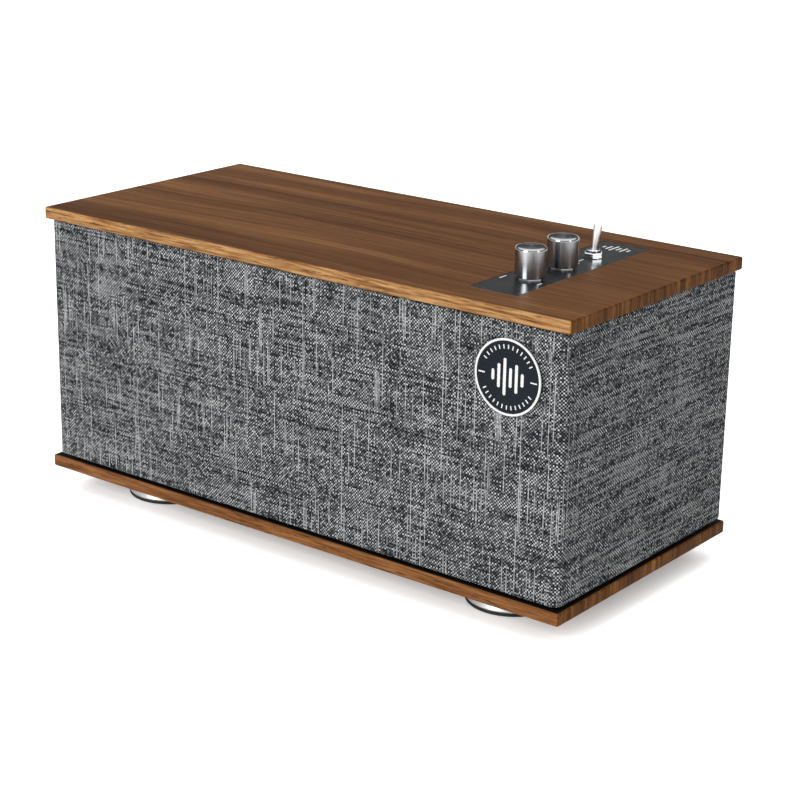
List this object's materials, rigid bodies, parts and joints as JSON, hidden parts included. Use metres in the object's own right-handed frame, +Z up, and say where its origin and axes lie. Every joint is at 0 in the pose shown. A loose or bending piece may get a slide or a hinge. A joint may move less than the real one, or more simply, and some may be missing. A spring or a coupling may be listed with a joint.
{
  "type": "tabletop wireless speaker",
  "caption": "Tabletop wireless speaker: walnut boards above and below a wrap-round cloth grille, knobs and a toggle on a metal strip, round badge and feet.",
  "frame": {"origin": "on the surface that the feet stand on, under the centre of the two boards", "axes": "+Z up, -Y towards the front (badge side), +X towards the end with the controls"},
  "size_m": [0.322, 0.1486, 0.1687],
  "materials": {
    "walnut": "satin oiled walnut veneer",
    "black_mdf": "black painted fibreboard",
    "rear_black": "matt black panel",
    "grille_fabric": "charcoal and white heather weave",
    "black_plastic": "moulded, matt",
    "badge_black": "satin black",
    "badge_white": "satin white",
    "plate_metal": "brushed gunmetal",
    "legend_white": "printed",
    "knob_metal": "turned, brushed",
    "chrome": "polished",
    "steel": "zinc plated",
    "dark_steel": "black painted steel",
    "rubber": "matt",
    "foam": "closed-cell foam",
    "cone_fibre": "pressed fibre composite",
    "spider_cloth": "impregnated cloth",
    "copper": "enamelled copper wire",
    "circuit_green": "solder resist",
    "housing_plastic": "moulded",
    "brass": "plated",
    "lead_sheath": "insulation",
    "foot_metal": "satin"
  },
  "bodies": {
    "cabinet": {"bottom_board": "walnut", "top_board": "walnut", "front_baffle": "black_mdf", "side_panels": "black_mdf", "rear_panel": "rear_black", "peg_cups": "rubber", "control_plate": "plate_metal", "plate_legend": "legend_white", "volume_pot_housing": "housing_plastic", "source_encoder_housing": "housing_plastic", "control_nuts": "steel", "toggle_bushing": "chrome", "toggle_washer": "chrome", "toggle_nut": "chrome", "toggle_body": "housing_plastic", "toggle_terminals": "brass", "control_board": "circuit_green", "woofer_basket": "dark_steel", "woofer_motor": "dark_steel", "fullrange_baskets": "dark_steel", "fullrange_motors": "dark_steel", "passive_frames": "dark_steel", "driver_gaskets": "foam", "cabinet_screws": "dark_steel", "amplifier_board": "circuit_green", "amplifier_heat_sink": "knob_metal", "amplifier_capacitors": "housing_plastic", "power_inlet": "housing_plastic", "aux_jack": "housing_plastic", "board_screws": "steel", "driver_leads": "lead_sheath", "control_cable": "lead_sheath", "foot_bodies": "foot_metal", "foot_pads": "rubber", "foot_screws": "steel"},
    "grille": {"grille_frame": "black_plastic", "grille_cloth": "grille_fabric", "grille_pegs": "black_plastic", "badge_disc": "badge_black", "badge_marks": "badge_white"},
    "volume_control": {"volume_knob": "knob_metal", "volume_pot_shaft": "steel"},
    "source_plunger": {"source_encoder_plunger": "black_plastic"},
    "source_control": {"source_knob": "knob_metal", "source_encoder_shaft": "steel"},
    "toggle": {"toggle_lever": "chrome"},
    "toggle_contact": {"toggle_rocker": "brass"},
    "woofer": {"woofer_cone": "cone_fibre", "woofer_dust_cap": "cone_fibre", "woofer_voice_coil": "copper", "woofer_surround": "rubber", "woofer_spider": "spider_cloth"},
    "fullrange_left": {"fullrange_left_cone": "cone_fibre", "fullrange_left_suspension": "rubber"},
    "fullrange_right": {"fullrange_right_cone": "cone_fibre", "fullrange_right_suspension": "rubber"},
    "passive_left": {"passive_left_diaphragm": "cone_fibre", "passive_left_surround": "rubber"},
    "passive_right": {"passive_right_diaphragm": "cone_fibre", "passive_right_surround": "rubber"}
  },
  "joints": [
    {"name": "grille_pull_off", "type": "slide", "parent": "cabinet", "child": "grille", "axis": [0, -1, 0], "range_m": [0, 0.16]},
    {"name": "volume_turn", "type": "hinge", "parent": "cabinet", "child": "volume_control", "pos_m": [0.1073, -0.0265, 0.1532], "axis": [0, 0, 1], "range_deg": [-150, 150]},
    {"name": "source_push", "type": "slide", "parent": "cabinet", "child": "source_plunger", "axis": [0, 0, -1], "range_m": [0, 0.0005], "stiffness_N_per_m": 1200, "springref_m": -0.0005},
    {"name": "source_turn", "type": "hinge", "parent": "source_plunger", "child": "source_control", "pos_m": [0.1073, -0.0005, 0.1532], "axis": [0, 0, 1], "continuous": true},
    {"name": "toggle_flip", "type": "hinge", "parent": "cabinet", "child": "toggle", "pos_m": [0.1073, 0.026, 0.1542], "axis": [1, 0, 0], "range_deg": [0, 26]},
    {"name": "toggle_contact_rock", "type": "hinge", "parent": "cabinet", "child": "toggle_contact", "pos_m": [0.1073, 0.026, 0.146], "axis": [1, 0, 0], "range_deg": [-16, 0]},
    {"name": "woofer_throw", "type": "slide", "parent": "cabinet", "child": "woofer", "axis": [0, -1, 0], "range_m": [-0.004, 0.004], "stiffness_N_per_m": 900, "deforming": ["woofer_surround", "woofer_spider"]},
    {"name": "fullrange_left_throw", "type": "slide", "parent": "cabinet", "child": "fullrange_left", "axis": [0, -1, 0], "range_m": [-0.002, 0.002], "stiffness_N_per_m": 600, "deforming": ["fullrange_left_suspension"]},
    {"name": "fullrange_right_throw", "type": "slide", "parent": "cabinet", "child": "fullrange_right", "axis": [0, -1, 0], "range_m": [-0.002, 0.002], "stiffness_N_per_m": 600, "deforming": ["fullrange_right_suspension"]},
    {"name": "passive_left_throw", "type": "slide", "parent": "cabinet", "child": "passive_left", "axis": [-1, 0, 0], "range_m": [-0.004, 0.004], "stiffness_N_per_m": 900, "deforming": ["passive_left_surround"]},
    {"name": "passive_right_throw", "type": "slide", "parent": "cabinet", "child": "passive_right", "axis": [1, 0, 0], "range_m": [-0.004, 0.004], "stiffness_N_per_m": 900, "deforming": ["passive_right_surround"]}
  ],
  "couplings": [
    {"joint": "toggle_contact_rock", "follows": "toggle_flip", "ratio": -0.61538}
  ]
}
